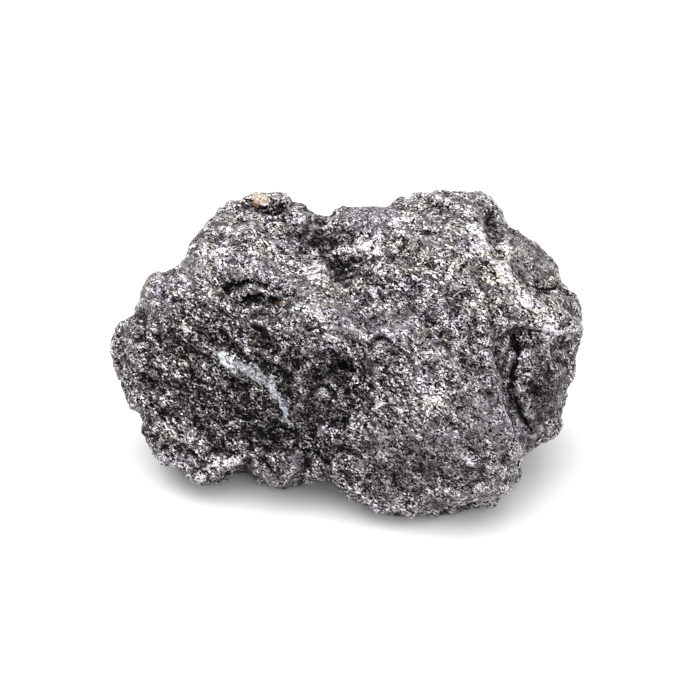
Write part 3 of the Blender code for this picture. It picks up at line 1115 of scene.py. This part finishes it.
def make_stone(node):
    """The visible stone, from the CAD node: an even fine mesh, its relief, its minerals, its painted
    shade and its map.
    """
    stone = fine_copy(node)
    mesh = stone.data
    around = Neighbours(mesh)
    base = around.smoothed(vertex_places(mesh), SMOOTHING_PASSES)
    resting = smooth_step(0.0, BASE_FADE, base[:, 2] / MM)
    set_places(mesh, base)
    normals = vertex_normals(mesh)
    points = to_face(base)
    lay_out_map(mesh, points)
    height = relief(points) * resting
    places = base + normals * (height * MM)[:, None]
    places[:, 2] = np.maximum(places[:, 2], 0)
    set_places(mesh, places)
    normals = vertex_normals(mesh)
    sunk = ((around.smoothed(places, CAVITY_PASSES) - places) * normals).sum(axis=1) / MM
    paint_minerals_and_shade(mesh, to_face(places), np.clip(sunk * CAVITY_GAIN, *CAVITY_LIMITS))
    mesh.shade_smooth()
    mesh.materials.clear()
    mesh.materials.append(graphite_material())
    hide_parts("graphite_stone")
    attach(stone, "root")


# ---------------------------------------------------------------- the studio

FLOOR_HALF = 2.0

# Soft square lights: (name, place, size, power), in metres and watts, and what they point at.
SOFT_BOXES = [
    ("top_softbox", (-0.10, 0.00, 0.55), 0.80, 3.9),
    ("front_softbox", (0.20, -0.60, 0.50), 0.40, 1.0),
]
LIGHT_AIM = Vector((0, 0, 0.015))
ROOM_LIGHT = 0.92

# The camera looks square at the show face, at this place on it, and sees this width of it.
LENS = 400.0
SENSOR = 36.0
VIEW_WIDTH = 88.9 * MM
AIM_ON_FACE = (0.5, 0.5)
NEAREST_SEEN = 0.01


def make_floor():
    mesh = bpy.data.meshes.new("floor")
    corners = [(-1, -1), (1, -1), (1, 1), (-1, 1)]
    mesh.from_pydata([(x * FLOOR_HALF, y * FLOOR_HALF, 0) for x, y in corners], [], [(0, 1, 2, 3)])
    mesh.materials.append(floor_material())
    floor = bpy.data.objects.new("floor", mesh)
    bpy.context.scene.collection.objects.link(floor)


def soft_box(name, place, size, power):
    """A square light that faces the stone."""
    light = bpy.data.lights.new(name, "AREA")
    light.size = size
    light.energy = power
    lamp = bpy.data.objects.new(name, light)
    lamp.location = place
    lamp.rotation_euler = (LIGHT_AIM - Vector(place)).to_track_quat("-Z", "Y").to_euler()
    bpy.context.scene.collection.objects.link(lamp)


def make_lights():
    for box in SOFT_BOXES:
        soft_box(*box)
    world = bpy.data.worlds.new("studio")
    world.use_nodes = True
    background = world.node_tree.nodes["Background"]
    background.inputs["Color"].default_value = (1, 1, 1, 1)
    background.inputs["Strength"].default_value = ROOM_LIGHT
    bpy.context.scene.world = world


def make_camera():
    up, out = face_axes()
    aim = MIDDLE + Vector((AIM_ON_FACE[0], 0, 0)) * MM + Vector(up) * AIM_ON_FACE[1] * MM
    distance = VIEW_WIDTH * LENS / SENSOR
    data = bpy.data.cameras.new("camera")
    data.lens = LENS
    data.sensor_width = SENSOR
    data.clip_start = NEAREST_SEEN
    camera = bpy.data.objects.new("camera", data)
    axes = Matrix(((1, 0, 0), up, out)).transposed()
    camera.matrix_world = Matrix.Translation(aim + Vector(out) * distance) @ axes.to_4x4()
    bpy.context.scene.collection.objects.link(camera)
    bpy.context.scene.camera = camera


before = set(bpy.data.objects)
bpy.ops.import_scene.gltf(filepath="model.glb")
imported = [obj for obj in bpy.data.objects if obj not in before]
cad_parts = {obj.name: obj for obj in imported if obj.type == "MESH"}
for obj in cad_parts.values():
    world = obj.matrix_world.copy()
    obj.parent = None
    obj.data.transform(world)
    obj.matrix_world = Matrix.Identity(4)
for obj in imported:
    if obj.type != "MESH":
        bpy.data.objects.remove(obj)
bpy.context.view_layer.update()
make_stone(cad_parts["graphite_stone"])
make_floor()
make_lights()
make_camera()
bpy.context.scene.view_settings.view_transform = "Standard"
